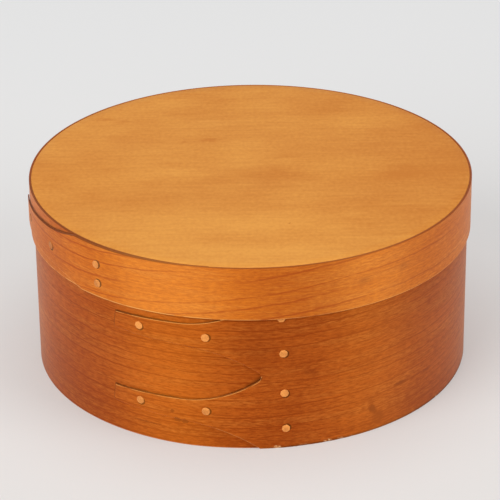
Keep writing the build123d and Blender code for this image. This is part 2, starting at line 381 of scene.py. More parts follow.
class StudioSettings(bpy.types.PropertyGroup):
    """Camera, lamps and floor."""

    elevation: turn("Camera elevation", "How far above the horizon the camera stands", 26.2146)
    roll: turn("Camera roll", "How far the camera leans to one side", -0.6234)
    distance: length("Camera distance", "From the camera to the point that it looks at", 1.79905)
    target_x: length("Target sideways", "Where the camera looks, to the right of the middle", -0.82 * MM)
    target_z: length("Target height", "Where the camera looks, above the floor", 72.44 * MM)
    lens: number("Lens", "Focal length", 184.987, subtype="DISTANCE_CAMERA")
    world_strength: number("World light", "Light from all round", 0.33)
    left_power: number("Left lamp", "Power of the left lamp", 170, unit="POWER")
    right_power: number("Right lamp", "Power of the right lamp", 97, unit="POWER")
    top_power: number("Top lamp", "Power of the lamp above", 36, unit="POWER")
    floor_front: colour("Floor, front", "Colour of the floor before the box", (0.745, 0.735, 0.725))
    floor_back: colour("Floor, back", "Colour of the floor behind the box", (0.79, 0.795, 0.80))
    floor_glow: number("Floor glow", "Share of the floor that needs no light", 0.3)


class CheeseBoxSettings(bpy.types.PropertyGroup):
    """Everything that the sidebar shows."""

    body: group_of(BodyWallSizes, "Body wall", "Sizes of the tall wall")
    lid: group_of(LidWallSizes, "Lid wall", "Sizes of the lid's wall")
    wood: group_of(WoodColours, "Woods", "Colours of the woods")
    studio: group_of(StudioSettings, "Studio", "Camera, lamps and floor")


class Field:
    """A socket of a finish. Sums, differences and products with it add Math nodes."""

    def __init__(self, finish, socket):
        self.finish = finish
        self.socket = socket

    def beside(self, output):
        """Another output of the same node."""
        return Field(self.finish, self.socket.node.outputs[output])

    def __add__(self, other):
        return self.finish.math("ADD", self, other)

    def __radd__(self, other):
        return self.finish.math("ADD", other, self)

    def __sub__(self, other):
        return self.finish.math("SUBTRACT", self, other)

    def __rsub__(self, other):
        return self.finish.math("SUBTRACT", other, self)

    def __mul__(self, other):
        return self.finish.math("MULTIPLY", self, other)

    def __rmul__(self, other):
        return self.finish.math("MULTIPLY", other, self)


class Finish:
    """A material under construction."""

    def __init__(self, name):
        self.material = bpy.data.materials.new(name)
        self.material.use_nodes = True
        self.tree = self.material.node_tree
        self.tree.nodes.clear()

    def node(self, kind, settings=None, inputs=None, output=0):
        """Adds a node: its settings first, then the values or links of its sockets."""
        made = self.tree.nodes.new(kind)
        for name, value in (settings or {}).items():
            setattr(made, name, value)
        for key, value in (inputs or {}).items():
            if isinstance(value, Field):
                self.tree.links.new(value.socket, made.inputs[key])
            elif made.inputs[key].type == "RGBA":
                made.inputs[key].default_value = (*value, 1)
            else:
                made.inputs[key].default_value = value
        return Field(self, made.outputs[output]) if made.outputs else made

    def math(self, operation, *values, clamped=False):
        settings = {"operation": operation, "use_clamp": clamped}
        return self.node("ShaderNodeMath", settings, dict(enumerate(values)))

    def vector(self, operation, *values, output=0):
        return self.node("ShaderNodeVectorMath", {"operation": operation}, dict(enumerate(values)), output)

    def attribute(self, name):
        return self.node("ShaderNodeAttribute", {"attribute_name": name}, output="Vector")

    def parts(self, vector):
        """The three numbers of a vector."""
        first = self.node("ShaderNodeSeparateXYZ", None, {0: vector})
        return [first.beside(axis) for axis in "XYZ"]

    def joined(self, x, y, z):
        return self.node("ShaderNodeCombineXYZ", None, {0: x, 1: y, 2: z})

    def noise(self, where, scales, detail=2.0, roughness=0.5, offset=(0, 0, 0)):
        """Smooth noise from 0 to 1, with so many cycles a metre along each axis."""
        place = self.vector("MULTIPLY_ADD", where, scales, offset)
        inputs = {"Vector": place, "Scale": 1.0, "Detail": detail, "Roughness": roughness}
        return self.node("ShaderNodeTexNoise", {"noise_dimensions": "3D"}, inputs)

    def between(self, value, low, high):
        """Rises smoothly from 0 to 1 as a value goes from low to high, or falls if high is the lower."""
        start, end = min(low, high), max(low, high)
        inputs = {"Value": value, "From Min": start, "From Max": end}
        risen = self.node("ShaderNodeMapRange", {"interpolation_type": "SMOOTHSTEP"}, inputs)
        return risen if low < high else 1 - risen

    def mix(self, share, low, high):
        """Mixes two colours. The sockets go by number, because each kind of value has the same names."""
        return self.node("ShaderNodeMix", {"data_type": "RGBA"}, {0: share, 6: low, 7: high}, output=2)

    def oval(self, where, centre, reach):
        """Distance from an oval's middle, 1 on its outline. The third axis doesn't count."""
        away = self.vector("SUBTRACT", where, (*centre, 0))
        scaled = self.vector("MULTIPLY", away, (1 / reach[0], 1 / reach[1], 0))
        return self.vector("LENGTH", scaled, output="Value")

    def ragged(self, where, scales, reach_x, reach_y):
        """Places moved to and fro by noise, within these reaches, so that marks on them get ragged."""
        moved = self.vector("MULTIPLY_ADD", self.noise(where, scales), (reach_x, reach_y, 0), where)
        return self.vector("SUBTRACT", moved, (reach_x / 2, reach_y / 2, 0))

    def marks(self, where, places):
        """Darkness of a list of soft-edged marks."""
        total = 0
        for x, y, reach_x, reach_y, strength in places:
            total = total + self.between(self.oval(where, (x, y), (reach_x, reach_y)), 1.25, 0.25) * strength
        return total

    def finish(self, colour, roughness, height, distance, gloss=None):
        """Ends the material in a satin surface. Gloss holds the shader's constant settings."""
        inputs = {"Base Color": colour, "Roughness": roughness, **(gloss or {})}
        inputs["Normal"] = self.node("ShaderNodeBump", None, {"Height": height, "Distance": distance})
        surface = self.node("ShaderNodeBsdfPrincipled", None, inputs)
        self.node("ShaderNodeOutputMaterial", None, {"Surface": surface})
        return self.material


class Wall:
    """One bent strip, from its tips, round once and on under its own lap."""

    def __init__(self, sizes, node, board, heights, tilts, tips, stations, chips):
        low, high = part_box(node)
        self.sizes = sizes
        self.radius = high.x - DRAWN_IN
        self.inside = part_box(board)[1].x + BOARD_CLEARANCE
        self.thickness = self.radius - self.inside
        self.turn = 2 * math.pi * self.radius
        self.bottom = low.z
        self.top = high.z
        self.heights = heights
        self.tilts = tilts
        self.tips = tips
        self.chips = chips
        self.ahead = [-share * sizes.finger_length for share, _, _ in stations]
        self.layer = [left * self.thickness for _, left, _ in stations]
        self.rise = [rise for _, _, rise in stations]
        self.notch, self.arch_start = self.find_notch()

    def angle(self, distance):
        return self.sizes.seam_angle - distance / self.radius

    def inner_layer(self, distance):
        """Thickness of the layer under the lap."""
        return np.interp(-distance, self.ahead, self.layer)

    def radii(self, distance):
        """Inner and outer radius of the strip. Past a whole turn it runs under its own start."""
        lap_end = -self.ahead[-1]
        if distance <= -self.ahead[0] - self.turn:
            return self.inside, self.inside + self.inner_layer(distance + self.turn)
        if distance >= lap_end:
            stand = np.interp(-distance, self.ahead, self.rise)
            return self.inside + self.inner_layer(distance) + LAP_GAP, self.radius + stand
        climb = max(0.0, 1 - (lap_end - distance) / STEP_LENGTH)
        return self.inside + climb * (self.layer[-1] + LAP_GAP), self.radius

    def half_width(self, distance):
        """Half the height of a finger: a straight taper, then an arch that flares past the root."""
        sizes = self.sizes
        tip, neck, root = sizes.tip_width / 2, sizes.neck_width / 2, sizes.root_width / 2
        taper = math.atan2(neck - tip, sizes.finger_length - sizes.neck_distance)
        if distance >= sizes.neck_distance:
            return neck - (distance - sizes.neck_distance) * math.tan(taper)
        ahead = sizes.neck_distance * math.cos(taper) + (root - neck) * math.sin(taper)
        aside = (root - neck) * math.cos(taper) - sizes.neck_distance * math.sin(taper)
        bend = (ahead**2 + aside**2) / (2 * aside)
        sine = min(1.0, (sizes.neck_distance - distance) / bend + math.sin(taper))
        return neck + bend * (math.cos(taper) - math.sqrt(1 - sine**2))

    def edge(self, finger, distance, side):
        """Height of a finger's upper edge (side 1) or lower edge (side -1)."""
        tilt = self.tilts[finger]
        half = self.half_width(distance)
        half = self.half_width(distance + side * half * math.sin(tilt))
        drop = (self.sizes.finger_length - distance) * math.tan(tilt)
        return self.heights[finger] - drop + side * half

    def gap(self, distance):
        """Half the space between the edges of two fingers, less than 0 where they would cross."""
        return (self.edge(-1, distance, -1) - self.edge(0, distance, 1)) / 2

    def find_notch(self):
        """Where the rounded end of the arch between two fingers is, and where its rounding ends."""
        if len(self.heights) == 1:
            return 0.0, 0.0
        low, high = -NOTCH_SEARCH, NOTCH_SEARCH
        for _ in range(NOTCH_HALVINGS):
            middle = (low + high) / 2
            if self.gap(middle) < 0:
                low = middle
            else:
                high = middle
        sine = math.sin(math.atan2(self.gap(high + NOTCH_RADIUS), NOTCH_RADIUS))
        notch = high + NOTCH_RADIUS * (1 / sine - 1)
        return notch, notch + NOTCH_RADIUS * (1 - sine)

    def edges(self, distance, finger):
        """Lower and upper edge of one finger's part of the strip."""
        low = self.edge(finger, distance, -1)
        high = self.edge(finger, distance, 1)
        if len(self.heights) > 1 and distance < self.arch_start:
            place = max(distance, self.notch)
            middle = (self.edge(0, place, 1) + self.edge(-1, place, -1)) / 2
            half = math.sqrt(max(0.0, NOTCH_RADIUS**2 - (self.notch + NOTCH_RADIUS - place) ** 2))
            low, high = (low, middle - half) if finger == 0 else (middle + half, high)
        return max(low, self.bottom), min(high, self.top)

    def arch_samples(self):
        """Three distances along the curved part of a finger's edge."""
        return [share * self.sizes.neck_distance for share in ARCH_SAMPLES]

    def chip(self, distance):
        """Extra rounding of the lower edge where a chip is missing."""
        deepest = 0
        for place, span, depth in self.chips:
            away = abs(distance - place) / (span / 2)
            deepest = max(deepest, depth * max(0.0, 1 - away**2))
        return deepest


def section(low, high, inner, outer, low_round, high_round):
    """A strip's cross-section as a loop of (height, radius, side, rim), eased at its four corners.

    The rim says how near a point is to an edge: up to 1 at an upper edge and -1 at a lower one.
    """
    limit = ROUND_LIMIT * (outer - inner)
    low_round, high_round = min(low_round, limit), min(high_round, limit)
    shoulder = min(WORN_WIDTH, WORN_LIMIT * (high - low))
    bottom, top = low + low_round, high - high_round
    levels = [bottom, *np.linspace(bottom + shoulder, top - shoulder, ROWS - 1), top]
    rims = [-RIM_START] + [0] * (ROWS - 1) + [RIM_START]

    def corner(edge, up, ease, inward):
        face = inner if inward else outer
        away = 1 if inward else -1
        for step in QUARTER[1:]:
            z = edge - up * ease * (1 - math.sin(step))
            rim = RIM_START + (1 - RIM_START) * math.sin(step)
            yield z, face + away * ease * (1 - math.cos(step)), float(inward), up * rim

    loop = [(z, outer, 0, rim) for z, rim in zip(levels, rims)]
    loop += corner(high, 1, high_round, False)
    loop += reversed(list(corner(high, 1, high_round, True)))
    loop += [(z, inner, 1, rim) for z, rim in zip(reversed(levels), reversed(rims))]
    loop += corner(low, -1, low_round, True)
    loop += reversed(list(corner(low, -1, low_round, False)))
    return loop


def across_both(parts):
    """Sections of one or two fingers at one place, as one loop with nothing between them."""
    if len(parts) == 1:
        return parts[0]
    lower, upper = parts
    joint = (*lower[ROWS][:3], 0)
    inner_face = ROWS + 1 + 2 * len(QUARTER[1:])
    return [*lower[:ROWS], joint, *upper[1 : inner_face + ROWS + 1], *lower[inner_face + 1 :]]


class Shell:
    """Vertices and faces that grow ring by ring, with each vertex's place on its strip."""

    def __init__(self, wall):
        self.wall = wall
        self.points = []
        self.places = []
        self.edges = []
        self.faces = []

    def ring(self, distance, loop, slant=0.0, middle=0.0, end=0.0):
        first = len(self.points)
        for z, radius, side, rim in loop:
            leaning = distance - slant * (z - middle)
            angle = self.wall.angle(leaning)
            self.points.append((radius * math.sin(angle), -radius * math.cos(angle), z))
            self.places.append((-leaning, z, side))
            at_top = rim > 0 and z > self.wall.top - EDGE_REACH
            at_bottom = rim < 0 and z < self.wall.bottom + EDGE_REACH
            on_finger = not (at_top or at_bottom)
            self.edges.append((max(rim * at_top, end), -rim * at_bottom, rim * on_finger))
        return list(range(first, len(self.points)))

    def bridge(self, near, far):
        for here in range(len(near)):
            after = (here + 1) % len(near)
            self.faces.append((near[here], far[here], far[after], near[after]))

    def piece(self, name):
        mesh = bpy.data.meshes.new(name)
        mesh.from_pydata(self.points, [], self.faces)
        for label, values in (("strip", self.places), ("edges", self.edges)):
            layer = mesh.attributes.new(label, "FLOAT_VECTOR", "POINT")
            layer.data.foreach_set("vector", np.array(values, np.float32).ravel())
        made = bmesh.new()
        made.from_mesh(mesh)
        bmesh.ops.remove_doubles(made, verts=made.verts, dist=WELD)
        bmesh.ops.recalc_face_normals(made, faces=made.faces)
        made.to_mesh(mesh)
        made.free()
        return shown(name, mesh)


def shown(name, mesh):
    """Puts a mesh into the scene, smooth but for its sharp corners."""
    mesh.shade_smooth()
    mesh.set_sharp_from_angle(angle=SHARP_ANGLE)
    piece = bpy.data.objects.new(name, mesh)
    bpy.context.scene.collection.objects.link(piece)
    return piece


def bent_wall(wall, name):
    """Sweeps the strip's section from its fingers' tips, round the box and on under the lap."""
    sizes = wall.sizes
    shell = Shell(wall)
    fingers = range(len(wall.heights))

    def easing(distance, at_notch):
        """Corners get sharp where two fingers meet."""
        if not at_notch:
            return sizes.rounding
        return sizes.rounding * min(1.0, max(0.0, distance - wall.notch) / NOTCH_EASING)

    def part(distance, finger, inset=0.0):
        low, high = wall.edges(distance, finger)
        inner, outer = wall.radii(distance)
        low_round = easing(distance, finger > 0) + (wall.chip(distance) if finger == 0 else 0)
        high_round = easing(distance, finger < len(wall.heights) - 1)
        return section(low + inset, high - inset, inner + inset, outer - inset, low_round, high_round)

    lap_end = wall.ahead[-1]
    strip_end = wall.turn + lap_end
    first = -wall.notch
    run = [
        *np.arange(first, first + CLOSE_END, CLOSE_STEP),
        *np.arange(first + CLOSE_END, first + WIDER_END, WIDER_STEP),
        *np.linspace(first + WIDER_END, strip_end, EVEN_RINGS),
    ]
    previous = None
    for back in run:
        ring = shell.ring(-back, across_both([part(-back, finger) for finger in fingers]))
        if previous:
            shell.bridge(previous, ring)
        previous = ring
    shell.faces.append(tuple(previous))

    slant = math.tan(sizes.tip_slant)
    tip_round = min(sizes.rounding, TIP_ROUND_LIMIT * (wall.rise[0] - LAP_GAP))
    near_notch = [wall.notch + step for step in ROOT_RINGS]
    for finger in fingers:
        middle, tip = wall.heights[finger], wall.tips[finger]
        to_tip = np.linspace(wall.notch + FINGER_START, tip - 2 * tip_round, FINGER_RINGS)
        previous = None
        for distance in [*near_notch, *to_tip]:
            lean = slant * smooth_share(distance, tip - SLANT_LENGTH, tip)
            ring = shell.ring(distance, part(distance, finger), lean, middle)
            if previous:
                shell.bridge(previous, ring)
            previous = ring
        for step in QUARTER:
            inset = tip_round * (1 - math.cos(step))
            distance = tip - tip_round * (1 - math.sin(step))
            ring = shell.ring(distance, part(distance, finger, inset), slant, middle, TIP_RIM_SHARE)
            shell.bridge(previous, ring)
            previous = ring
        shell.faces.append(tuple(previous))
    return shell.piece(name)


def smooth_share(value, low, high):
    share = min(1.0, max(0.0, (value - low) / (high - low)))
    return share * share * (3 - 2 * share)


def turned(name, profile, count, origin, axis, side, outline=None):
    """Spins a profile of (radius, height) points round an axis. Its ends lie on the axis."""
    made = bmesh.new()
    other = axis.cross(side)
    rings = []
    for radius, height in profile:
        centre = origin + axis * height
        if radius == 0:
            rings.append([made.verts.new(centre)])
            continue
        ring = []
        for step in range(count):
            angle = 2 * math.pi * step / count
            reach = radius * (outline(angle) if outline else 1)
            ring.append(made.verts.new(centre + (side * math.cos(angle) + other * math.sin(angle)) * reach))
        rings.append(ring)
    for near, far in zip(rings, rings[1:]):
        for step in range(count):
            after = (step + 1) % count
            near_pair = [near[step % len(near)], near[after % len(near)]]
            far_pair = [far[after % len(far)], far[step % len(far)]]
            made.faces.new(list(dict.fromkeys(near_pair + far_pair)))
    bmesh.ops.recalc_face_normals(made, faces=made.faces)
    mesh = bpy.data.meshes.new(name)
    made.to_mesh(mesh)
    made.free()
    return shown(name, mesh)


def eased(radius, height, up, rounding):
    """Points of (radius, height) round a corner that looks up (1) or down (-1), from its face to its rim."""
    for step in QUARTER:
        yield radius - rounding * (1 - math.sin(step)), height - up * rounding * (1 - math.cos(step))


def disc(name, node):
    """A board turned in rings, with its corners eased."""
    low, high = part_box(node)
    flats = [high.x * share for share in BOARD_RINGS]
    profile = [(reach, high.z) for reach in flats]
    profile += eased(high.x, high.z, 1, BOARD_ROUNDING)
    profile += reversed(list(eased(high.x, low.z, -1, BOARD_ROUNDING)))
    profile += [(reach, low.z) for reach in reversed(flats)]
    return turned(name, profile, BOARD_STEPS, Vector(), Vector((0, 0, 1)), Vector((1, 0, 0)))


def peg_places(node):
    """Angle, height, and inner and outer end of each peg of a node, read from the frame."""
    groups = []
    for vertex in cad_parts[node].data.vertices:
        near = [group for group in groups if (group[0] - vertex.co).length < PEG_APART]
        if near:
            near[0].append(vertex.co.copy())
        else:
            groups.append([vertex.co.copy()])
    places = []
    for group in groups:
        low = Vector([min(point[axis] for point in group) for axis in range(3)])
        high = Vector([max(point[axis] for point in group) for axis in range(3)])
        centre = (low + high) / 2
        angle = math.atan2(centre.x, -centre.y)
        outward = Vector((math.sin(angle), -math.cos(angle), 0))
        reach = [point.dot(outward) for point in group]
        places.append((angle, centre.z, min(reach), max(reach)))
    return sorted(places)


def whittled(number):
    """Outline of a peg whittled to seven or eight flats, as a share of its radius."""
    flats = 7 + number % 2
    half = math.pi / flats
    start = number * PEG_TURN

    def outline(angle):
        across = (angle + start + PEG_UNEVEN * math.sin(angle + number)) % (2 * half) - half
        polygon = math.cos(half) / math.cos(across)
        flattened = PEG_FLATNESS * polygon + (1 - PEG_FLATNESS)
        return (1 - PEG_OVAL) * flattened - PEG_OVAL * math.sin(2 * angle + number)

    return outline


def peg_row(name, node, look, body):
    """One node's pegs, each cut by hand, with its corner eased and its end slightly crowned."""
    for number, (angle, height, inner, outer) in enumerate(peg_places(node)):
        outward = Vector((math.sin(angle), -math.cos(angle), 0))
        start = inner - PEG_INNER_STAND
        reach = outer - start
        profile = [(0, reach)]
        profile += [(PEG_RADIUS * share, reach - drop * PEG_CROWN) for share, drop in PEG_DOME]
        profile += eased(PEG_RADIUS, reach - PEG_CROWN, 1, PEG_EASE)
        profile += [(PEG_RADIUS, PEG_FOOT_EASE), (PEG_RADIUS - PEG_FOOT_EASE, 0), (0, 0)]
        origin = outward * start + Vector((0, 0, height))
        side = Matrix.Rotation(PEG_LEAN * math.sin(number * 5 + 1), 3, outward) @ Vector((0, 0, 1))
        outline = whittled(number + len(name))
        piece = turned(f"{name}_{number + 1}", profile, PEG_STEPS, origin, outward, side, outline)
        piece.data.materials.append(look)
        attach(piece, body)
        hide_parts(node)


class Grain:
    """What sets one wall's cherry apart from the other's.

    Its growth lines, so many a metre, climb with the slope between two places along the strip. The
    shift picks its part of the noise. Depth and specks say how strongly the grain and its pores show.
    Worn holds how pale a finger's upper edge, its lower edge and the wall's lower edge are rubbed, and
    worn_reach where the second of them begins and up to what height it goes. The dirt and shade entry
    holds the width of the painted shadow and dirt along a finger's upper edge, and how much fainter it is
    half way along a finger. The lid's edge is a height, about which this wall gets a band of painted
    shade.
    """

    def __init__(
        self, colours, slope, climb, rings, shift, depth, specks, worn, worn_reach, dirt, sheen, lid_edge=None
    ):
        self.light, self.dark, self.gold, self.glow, self.soaked = colours
        self.slope = slope
        self.climb_start, self.climb_end = climb
        self.rings = rings
        self.shift = shift
        self.depth = depth
        self.specks = specks
        self.worn_finger, self.worn_under, self.worn_bottom = worn
        self.worn_start, self.worn_top = worn_reach
        self.dirt_width, self.dirt_and_shade_fading = dirt
        self.sheen = sheen
        self.lid_edge = lid_edge


def off_arch(look, seat, wall, finger, side):
    """How far a place is from the curved part of a finger's edge, on the side away from the finger."""
    points = [Vector((-d, wall.edge(finger, d, side), 0)) for d in wall.arch_samples()]
    centre, bend = circle_through(*points)
    return bend - look.vector("DISTANCE", seat, centre, output="Value")


def edge_shadow(look, seat, wall, finger, grain):
    """Painted shadow and dirt on the layer below, along the upper edge of a finger and in its arch."""
    around, height, _ = look.parts(seat)
    tip, neck = wall.tips[finger], wall.sizes.neck_distance
    tip_height, neck_height = wall.edge(finger, tip, 1), wall.edge(finger, neck, 1)
    straight = height - tip_height - (around + tip) * ((neck_height - tip_height) / (tip - neck))
    curved = off_arch(look, seat, wall, finger, 1)
    on_arch = look.between(around, -neck - ARCH_BLEND, -neck + ARCH_BLEND)
    above = straight * (1 - on_arch) + curved * on_arch
    past_tip = look.between(around, -tip - 0.2 * MM, -tip + 0.5 * MM)
    before_root = look.between(around, 0.5 * MM, -wall.notch)
    edge = look.between(above, -0.06 * MM, 0.03 * MM) * (past_tip * before_root)
    rough = (look.noise(seat, (300, 300, 9)) - 0.5) * DIRT_AND_SHADE_RAGGED
    fainter = look.between(around, *FAINTER_LEFT) * look.between(around, *FAINTER_RIGHT) * grain.dirt_and_shade_fading
    line = look.between(above + rough, grain.dirt_width, DIRT_AND_SHADE_FULL) * (1 - fainter)
    if finger + 1 == len(wall.heights):
        return edge * line
    closed = look.between(off_arch(look, seat, wall, finger + 1, -1), *NOOK_REACH) * on_arch
    # painted shade deep in the closed end between two fingers
    nook = look.between(above, NOOK_WIDTH, DIRT_AND_SHADE_FULL) * closed * 0.8
    return edge * look.math("MAXIMUM", line, nook)


def tip_shadow(look, seat, wall, finger):
    """The narrow dark line on the layer below, just past a finger's squared end."""
    around, height, _ = look.parts(seat)
    tip = wall.tips[finger]
    slant = math.tan(wall.sizes.tip_slant)
    past = (height - wall.heights[finger]) * slant - tip - around
    line = look.between(past, *TIP_LINE) * look.between(past, -0.02 * MM, 0.04 * MM)
    low, high = wall.edge(finger, tip, -1), wall.edge(finger, tip, 1)
    line = line * look.between(height, low, low + 0.8 * MM)
    return line * look.between(height, high + 0.2 * MM, high - 0.4 * MM)


def circle_through(first, second, third):
    """Centre and radius of the circle through three points of the plane."""
    chord, other = second - first, third - first
    cross = 2 * (chord.x * other.y - chord.y * other.x)
    away = Vector((
        (other.y * chord.length_squared - chord.y * other.length_squared) / cross,
        (chord.x * other.length_squared - other.x * chord.length_squared) / cross,
        0,
    ))
    return first + away, away.length


def growth_lines(look, strip, grain):
    """Dark lines of late wood, which climb along the strip, wander and fade in places."""
    along, height, side = look.parts(strip)
    climb = look.math("SMOOTH_MIN", along, grain.climb_end, CLIMB_BLEND)
    climb = look.math("SMOOTH_MAX", climb, grain.climb_start, CLIMB_BLEND) * grain.slope
    wander = look.noise(strip, (6, 9, 2), detail=1, offset=(grain.shift, 0, 0)) - 0.5
    jog = look.noise(strip, (45, 90, 2), offset=(grain.shift, 7, 0)) - 0.5
    level = (height - climb + wander * WANDER + jog * JOG) * grain.rings
    uneven = look.noise(look.joined(0, level, side), (1, 0.45, 3), detail=1, offset=(grain.shift, 5, 1))
    level = level + uneven * 1.3
    ring = look.math("FRACT", level)
    count = look.math("FLOOR", level)
    strength = look.noise(look.joined(along, count, side), (7, 7.31, 3), offset=(0, grain.shift, 0))
    strength = look.between(strength, 0.36, 0.58)
    return look.between(ring, 0.84, 0.95) * look.between(ring, 1.0, 0.97) * strength


def peg_shadows(look, seat, wall, peg_nodes):
    """Painted shadow on one side of each peg, where a peg standing proud casts its shade."""
    shadowed = 0
    for node in peg_nodes:
        for number, (angle, z, _, _) in enumerate(peg_places(node)):
            aside = Matrix.Rotation(PEG_SHADE_SWING * math.sin(2 * number + len(node)), 2) @ PEG_SHADE
            centre = ((angle - wall.sizes.seam_angle) * wall.radius + aside.x, z + aside.y)
            near = look.between(look.oval(seat, centre, (PEG_RADIUS, PEG_RADIUS)), 1.10, 0.98)
            shadowed = shadowed + near
    return shadowed


def cherry(name, wall, grain, wood, peg_nodes, flecks_and_shading):
    """Varnished cherry whose grain runs along the strip."""
    look = Finish(name)
    strip = look.attribute("strip")
    along, height, side = look.parts(strip)
    top_rim, bottom_rim, finger_rim = look.parts(look.attribute("edges"))
    half_turn = wall.turn / 2
    around = look.math("FLOORED_MODULO", along + half_turn, wall.turn) - half_turn
    seat = look.joined(around, height, 0)
    line = growth_lines(look, strip, grain)

    # fibres, pores and the curl across the grain
    fibres = look.noise(strip, (24, 520, 60), detail=3, roughness=0.6) - 0.5
    specks = look.noise(strip, (190, 900, 60), detail=3, roughness=0.7) - 0.5
    curl = look.noise(strip, (120, 24, 9), offset=(1, grain.shift, 0)) - 0.5
    broad = look.noise(strip, (9, 30, 9), roughness=0.55, offset=(grain.shift, 1, 0)) - 0.5
    tone = 0.40 + (line * 0.8 + fibres + specks * grain.specks + curl * 0.3 + broad * 0.6) * grain.depth
    # painted shade in a narrow band about the lid's edge
    if grain.lid_edge:
        below = look.between(height, *(grain.lid_edge + place for place in LID_SHADE_BELOW))
        above = look.between(height, *(grain.lid_edge + place for place in LID_SHADE_ABOVE))
        tone = tone + below * above * 0.45
    tone = tone + look.between(height, *BASE_SHADE) * 0.2

    # flecks and broad painted shade, and golden streaks
    loose = look.ragged(seat, (700, 900, 9), 3.0 * MM, -2.2 * MM)
    fleck_and_shading = look.marks(loose, flecks_and_shading)
    tone = look.math("ADD", tone, fleck_and_shading * 0.8, clamped=True)
    streaks = look.noise(strip, (14, 130, 9), detail=3, roughness=0.6, offset=(grain.shift, 3, 0))
    golden = look.mix(look.between(streaks, 0.42, 0.68) * 0.6, grain.light, grain.gold)
    shade = look.mix(tone, golden, grain.dark)
    shade = look.mix(look.math("MINIMUM", fleck_and_shading, 1.0) * 0.65, shade, wood.fleck_and_shading)

    # inside faces have hardly any varnish
    bare = look.mix(tone, wood.bare, wood.bare_dark)
    shade = look.mix(side, shade, bare)

    # painted shadow beside the pegs; painted shadow and dirt along the fingers' upper edges and in the
    # arches; a dark line past the fingers' tips
    shade = look.mix(peg_shadows(look, seat, wall, peg_nodes) * 0.92, shade, wood.soaked_edge_and_shade)
    for finger in range(len(wall.heights)):
        shadow = edge_shadow(look, seat, wall, finger, grain) * 0.95
        shadow = shadow + tip_shadow(look, seat, wall, finger) * 0.8
        shade = look.mix(shadow * (1 - side), shade, grain.soaked)

    # edges: a pale worn corner, then the dark cut face, where the varnish soaked in
    patchy = look.noise(strip, (70, 70, 70), detail=3)
    fine = look.noise(strip, (500, 900, 300))
    worn_finger = look.between(finger_rim, 0.05, 0.25) * look.between(patchy, 0.35, 0.5)
    worn_under = look.between(finger_rim, -0.15, -0.4) * look.between(patchy, 0.32, 0.5)
    worn_under = worn_under * look.between(around, grain.worn_start, grain.worn_start + WORN_UNDER_START)
    worn_under = worn_under * look.between(height, grain.worn_top + WORN_UNDER_TOP, grain.worn_top)
    worn_bottom = look.between(bottom_rim, 0.02, 0.2) * look.between(patchy, 0.66, 0.48)
    handled = 0.3 + look.between(around, *HANDLED) * 0.7
    rubbed = worn_finger * grain.worn_finger + worn_under * grain.worn_under
    rubbed = rubbed + worn_bottom * handled * grain.worn_bottom
    shade = look.mix(look.math("MINIMUM", rubbed, 1.0), shade, wood.worn_edge)
    soaked = look.between(finger_rim, 0.3, 0.5)
    shade = look.mix(soaked, shade, look.mix(fine * 0.4, grain.soaked, wood.cut_edge))
    doubled = look.between(around, *DOUBLED_LEFT) * look.between(around, *DOUBLED_RIGHT)
    cut = look.between(top_rim * (1 + doubled), 0.1, 0.45)
    shade = look.mix(cut, shade, look.mix(fine * 0.35 + doubled * 0.4, wood.cut_edge, grain.soaked))
    shade = look.mix(look.between(bottom_rim, 0.6, 0.85) * 0.8, shade, wood.cut_edge)
    # grime and painted contact shadow along the lower edge
    grime_and_shade = look.between(height, *GRIME_AND_SHADE_HEIGHT) * look.between(around, *GRIME_AND_SHADE_START)
    shade = look.mix(grime_and_shade * 0.75, shade, grain.soaked)
    chips = [
        (-place, wall.bottom + CHIP_ABOVE, 0.5 * span, CHIP_SHOWS * depth, (depth / CHIP_DEEP) ** 2)
        for place, span, depth in wall.chips
    ]
    if chips:
        chipped = look.math("MINIMUM", look.marks(loose, chips) * 1.4, 1.0) * look.between(fine, 0.36, 0.56)
        shade = look.mix(chipped, shade, wood.chip)

    satin = look.noise(strip, (22, 30, 9)) - 0.5
    roughness = 0.53 + satin * 0.10 + fibres * 0.12 + side * 0.15 + cut * 0.25
    relief = fibres * 0.5 + specks * 0.6
    gloss = {
        "IOR": VARNISH_IOR,
        "Specular Tint": grain.glow,
        "Anisotropic": FIBRE_ANISOTROPY,
        "Anisotropic Rotation": ACROSS_THE_GRAIN,
        "Sheen Weight": grain.sheen,
        "Sheen Roughness": 0.4,
        "Sheen Tint": (1, 0.75, 0.6),
    }
    return look.finish(shade, roughness, relief, FIBRE_RELIEF, gloss)


def board_wood(name, wood, varnished_side, marks):
    """A board with straight, faint grain from left to right. Its inner side is bare."""
    look = Finish(name)
    where = look.node("ShaderNodeTexCoord", output="Object")
    place_x, place_y, _ = look.parts(where)
    fibres = look.noise(where, (25, 300, 60), detail=3, roughness=0.6) - 0.5
    specks = look.noise(where, (380, 300, 60), detail=1) - 0.5
    blotches = look.noise(where, (20, 38, 5), detail=3, roughness=0.55, offset=(3, 1, 0)) - 0.5
    clouds = look.noise(where, (5, 9, 5), offset=(0.4, 2, 0)) - 0.5
    # painted shade towards the right and painted light towards the front
    tone = 0.5 + look.between(place_x, *PAINTED_SHADE_RIGHT) * 0.35 - look.between(place_y, *PAINTED_LIGHT_FRONT) * 0.32
    tone = tone + fibres * 0.75 + specks * 0.7 + blotches * 1.1 + clouds * 0.45
    mark = look.marks(look.ragged(where, (160, 260, 9), 12 * MM, 6 * MM), marks) if marks else 0
    tone = look.math("ADD", tone, mark * 0.45, clamped=True)
    varnished = look.mix(tone, wood.board_light, wood.board_dark)
    bare = look.mix(tone, wood.bare, wood.bare_dark)
    up = look.parts(look.node("ShaderNodeNewGeometry", output="Normal"))[2]
    shade = look.mix(look.between(up * varnished_side, 0.2, -0.2), varnished, bare)
    satin = look.noise(where, (9, 14, 9))
    roughness = 0.44 + (satin - 0.5) * 0.1
    return look.finish(shade, roughness, fibres, BOARD_RELIEF, {"Specular Tint": wood.board_glow})


